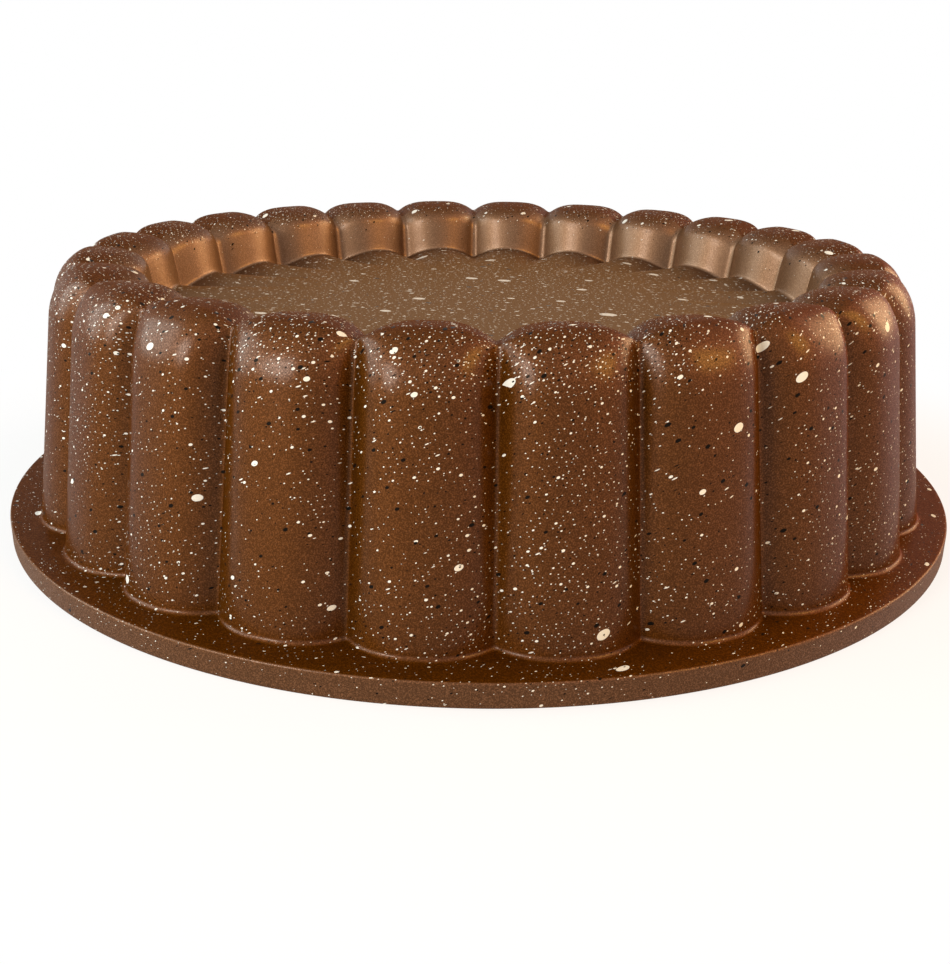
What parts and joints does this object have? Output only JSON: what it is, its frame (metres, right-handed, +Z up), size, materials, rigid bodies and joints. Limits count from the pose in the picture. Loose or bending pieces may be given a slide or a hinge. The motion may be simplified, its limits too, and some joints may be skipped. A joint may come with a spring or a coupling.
{
  "type": "round fluted cake pan",
  "caption": "Round cast cake pan with rounded flutes over its wall and crown, a shallow recessed centre and a flat rim flange, stood mouth down on the rim.",
  "frame": {"origin": "on the rest plane under the rim, at the mould's axis", "axes": "+Z up along the mould's axis, away from the mouth; a groove between two flutes lies on +X and on -Y"},
  "size_m": [0.27, 0.27, 0.0718],
  "materials": {
    "cast_aluminium": "as cast, with a turned rest face",
    "outer_speckle_coat": "satin copper-brown coat with cream and black specks",
    "inner_release_coat": "satin copper-brown release coat with fine specks"
  },
  "bodies": {
    "root": {"cast_body": "cast_aluminium", "outer_coat": "outer_speckle_coat", "inner_coat": "inner_release_coat"}
  },
  "joints": []
}
